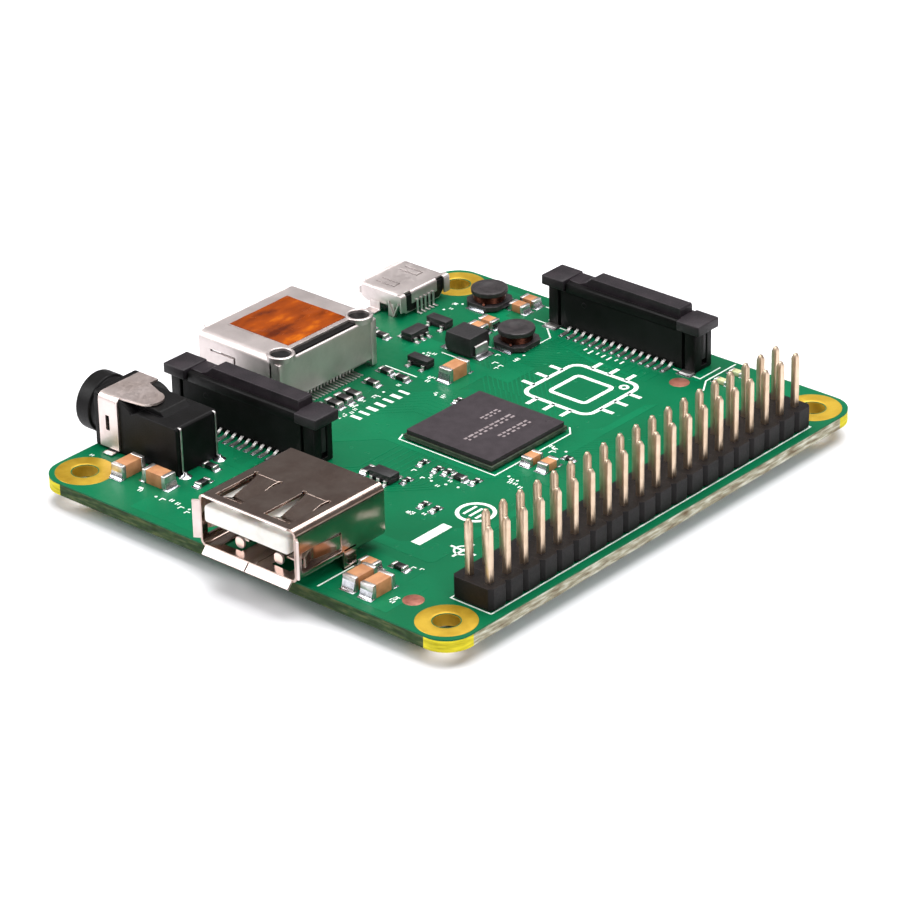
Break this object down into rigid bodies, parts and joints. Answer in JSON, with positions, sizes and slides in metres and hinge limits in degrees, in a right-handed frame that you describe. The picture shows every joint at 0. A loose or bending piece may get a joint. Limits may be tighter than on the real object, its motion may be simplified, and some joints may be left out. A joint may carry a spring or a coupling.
{
  "type": "single board computer",
  "caption": "Small single board computer: a green circuit board with a pin header, video, USB, power and audio sockets, two latching flat cable sockets and a memory card socket below.",
  "frame": {"origin": "centre of the four mounting holes, on the board's underside", "axes": "+X points along the board to the USB socket, +Y to the pin header, +Z out of the component side"},
  "size_m": [0.0684, 0.0586, 0.0115],
  "materials": {
    "solder_mask": "green solder mask over woven glass laminate, semi-gloss",
    "bare_pad": "gold plated copper, satin",
    "copper_mark": "copper under a thin clear film, satin",
    "header_plastic": "moulded black nylon, matt",
    "pin_gold": "flash gold over nickel, polished",
    "solder": "tin solder, bright",
    "nickel_shell": "nickel plated steel sheet, bright",
    "white_plastic": "moulded white plastic, satin",
    "tin_shell": "tin plated steel sheet, satin",
    "connector_black": "moulded black plastic, satin",
    "latch_black": "moulded black plastic, matt",
    "amber_film": "amber film tape, glossy",
    "contact_tin": "tin plated contacts, bright",
    "contact_gold": "gold plated contacts, bright",
    "package_green": "package substrate, matt",
    "package_black": "moulding compound, fine matt",
    "ferrite": "ferrite, fine grain",
    "copper_wire": "enamelled copper wire",
    "ceramic_tan": "fired ceramic, satin",
    "resistor_black": "black glaze over ceramic",
    "led_lens": "cast resin, translucent",
    "card_steel": "stainless sheet, satin",
    "spring_steel": "spring wire, bright",
    "slider_grey": "moulded grey plastic, matt"
  },
  "bodies": {
    "board_assembly": {"board": "solder_mask", "hole_pads": "bare_pad", "fiducials": "copper_mark", "header_strip": "header_plastic", "header_pins": "pin_gold", "pin_solder": "solder", "usb_shell": "nickel_shell", "usb_insulator": "white_plastic", "usb_contacts": "contact_gold", "hdmi_shell": "tin_shell", "hdmi_insulator": "connector_black", "hdmi_contacts": "contact_tin", "hdmi_pickup_tape": "amber_film", "micro_usb_shell": "nickel_shell", "micro_usb_insulator": "connector_black", "micro_usb_contacts": "contact_gold", "camera_housing": "connector_black", "camera_contacts": "contact_tin", "display_housing": "connector_black", "display_contacts": "contact_tin", "audio_body": "connector_black", "audio_clip": "nickel_shell", "audio_contacts": "contact_tin", "processor_package": "package_green", "memory_package": "package_black", "solder_balls": "solder", "inductor_cores": "ferrite", "inductor_windings": "copper_wire", "inductor_terminals": "solder", "diode_body": "package_black", "diode_terminals": "contact_tin", "regulator_bodies": "package_black", "regulator_leads": "contact_tin", "transistor_bodies": "package_black", "transistor_leads": "contact_tin", "large_capacitor_bodies": "ceramic_tan", "large_capacitor_ends": "solder", "small_capacitor_bodies": "ceramic_tan", "small_capacitor_ends": "solder", "resistor_bodies": "resistor_black", "resistor_ends": "solder", "filter_bodies": "resistor_black", "filter_ends": "solder", "led_bodies": "led_lens", "led_ends": "solder", "leg_solder": "solder", "card_base": "connector_black", "card_shell": "card_steel", "card_contacts": "contact_gold", "card_spring": "spring_steel"},
    "camera_latch": {"camera_latch": "latch_black"},
    "display_latch": {"display_latch": "latch_black"},
    "card_slider": {"card_slider": "slider_grey"}
  },
  "joints": [
    {"name": "camera_latch_lift", "type": "slide", "parent": "board_assembly", "child": "camera_latch", "axis": [0, 0, 1], "range_m": [0, 0.0012]},
    {"name": "display_latch_lift", "type": "slide", "parent": "board_assembly", "child": "display_latch", "axis": [0, 0, 1], "range_m": [0, 0.0012]},
    {"name": "card_slider_push", "type": "slide", "parent": "board_assembly", "child": "card_slider", "axis": [1, 0, 0], "range_m": [0, 0.0012], "stiffness_N_per_m": 60}
  ]
}
